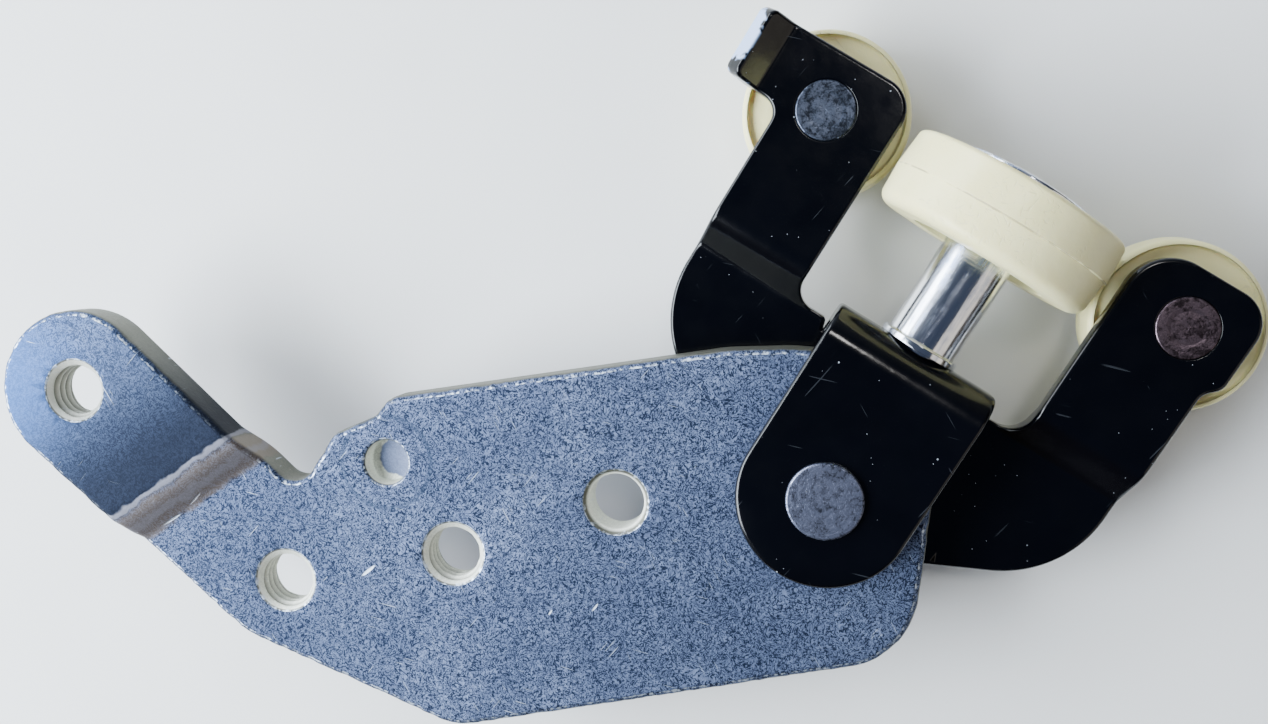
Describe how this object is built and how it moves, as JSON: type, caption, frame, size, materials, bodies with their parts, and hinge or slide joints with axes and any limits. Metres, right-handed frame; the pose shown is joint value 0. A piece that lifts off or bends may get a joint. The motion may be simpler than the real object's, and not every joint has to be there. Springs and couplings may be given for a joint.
{
  "type": "sliding door roller carriage",
  "caption": "Joggled zinc mounting plate with threaded holes, carrying a pivoting black bracket with a load roller and two guide rollers on ball bearings.",
  "frame": {"origin": "on the axis of the middle threaded fixing hole, at the plate's mounting face", "axes": "+X along the plate towards the carriage pivot; +Z is the pivot axis, pointing away from the mounting face; +Y towards the side the bent tab leans to"},
  "size_m": [0.1693, 0.0874, 0.03],
  "materials": {
    "zinc_plate": "blue-grey zinc plating with a mottled crystalline grain, scratched",
    "zinc_pin": "zinc plated, mottled, satin",
    "bronze": "sintered bronze, dull",
    "black_paint": "glossy black dipped paint",
    "bright_steel": "turned and polished steel",
    "ivory_nylon": "ivory nylon, satin",
    "bearing_steel": "ground bearing steel",
    "cage_plastic": "moulded polyamide",
    "shield_steel": "pressed sheet steel"
  },
  "bodies": {
    "plate": {"mounting_plate": "zinc_plate", "front_pivot_bush": "bronze", "rear_pivot_bush": "bronze"},
    "carriage": {"carriage_bracket": "black_paint", "pivot_pin": "zinc_pin", "load_roller_shaft": "bright_steel", "load_roller_washer": "bright_steel", "load_bearing_inner_ring": "bearing_steel", "left_guide_pin": "zinc_pin", "left_guide_spacer": "zinc_pin", "left_guide_bearing_inner_ring": "bearing_steel", "right_guide_pin": "zinc_pin", "right_guide_spacer": "zinc_pin", "right_guide_bearing_inner_ring": "bearing_steel"},
    "load_roller": {"load_roller_tyre": "ivory_nylon", "load_bearing_outer_ring": "bearing_steel", "load_bearing_shields": "shield_steel"},
    "load_cage": {"load_bearing_cage": "cage_plastic", "load_bearing_balls": "bearing_steel"},
    "left_roller": {"left_guide_tyre": "ivory_nylon", "left_guide_bearing_outer_ring": "bearing_steel", "left_guide_bearing_shields": "shield_steel"},
    "left_cage": {"left_guide_bearing_cage": "cage_plastic", "left_guide_bearing_balls": "bearing_steel"},
    "right_roller": {"right_guide_tyre": "ivory_nylon", "right_guide_bearing_outer_ring": "bearing_steel", "right_guide_bearing_shields": "shield_steel"},
    "right_cage": {"right_guide_bearing_cage": "cage_plastic", "right_guide_bearing_balls": "bearing_steel"}
  },
  "joints": [
    {"name": "carriage_pivot", "type": "hinge", "parent": "plate", "child": "carriage", "pos_m": [0.0507, 0, 0], "axis": [0, 0, 1], "range_deg": [-90, 25]},
    {"name": "load_roller_spin", "type": "hinge", "parent": "carriage", "child": "load_roller", "pos_m": [0.07842, 0.03014, 0.002], "axis": [0.6769, 0.7361, 0], "continuous": true},
    {"name": "load_cage_spin", "type": "hinge", "parent": "carriage", "child": "load_cage", "pos_m": [0.07842, 0.03014, 0.002], "axis": [0.6769, 0.7361, 0], "continuous": true},
    {"name": "left_roller_spin", "type": "hinge", "parent": "carriage", "child": "left_roller", "pos_m": [0.05971, 0.0485, -0.0056], "axis": [0, 0, 1], "continuous": true},
    {"name": "left_cage_spin", "type": "hinge", "parent": "carriage", "child": "left_cage", "pos_m": [0.05971, 0.0485, -0.0056], "axis": [0, 0, 1], "continuous": true},
    {"name": "right_roller_spin", "type": "hinge", "parent": "carriage", "child": "right_roller", "pos_m": [0.09828, 0.01303, -0.0056], "axis": [0, 0, 1], "continuous": true},
    {"name": "right_cage_spin", "type": "hinge", "parent": "carriage", "child": "right_cage", "pos_m": [0.09828, 0.01303, -0.0056], "axis": [0, 0, 1], "continuous": true}
  ],
  "couplings": [
    {"joint": "load_cage_spin", "follows": "load_roller_spin", "ratio": 0.625},
    {"joint": "left_cage_spin", "follows": "left_roller_spin", "ratio": 0.6095},
    {"joint": "right_cage_spin", "follows": "right_roller_spin", "ratio": 0.6095}
  ]
}
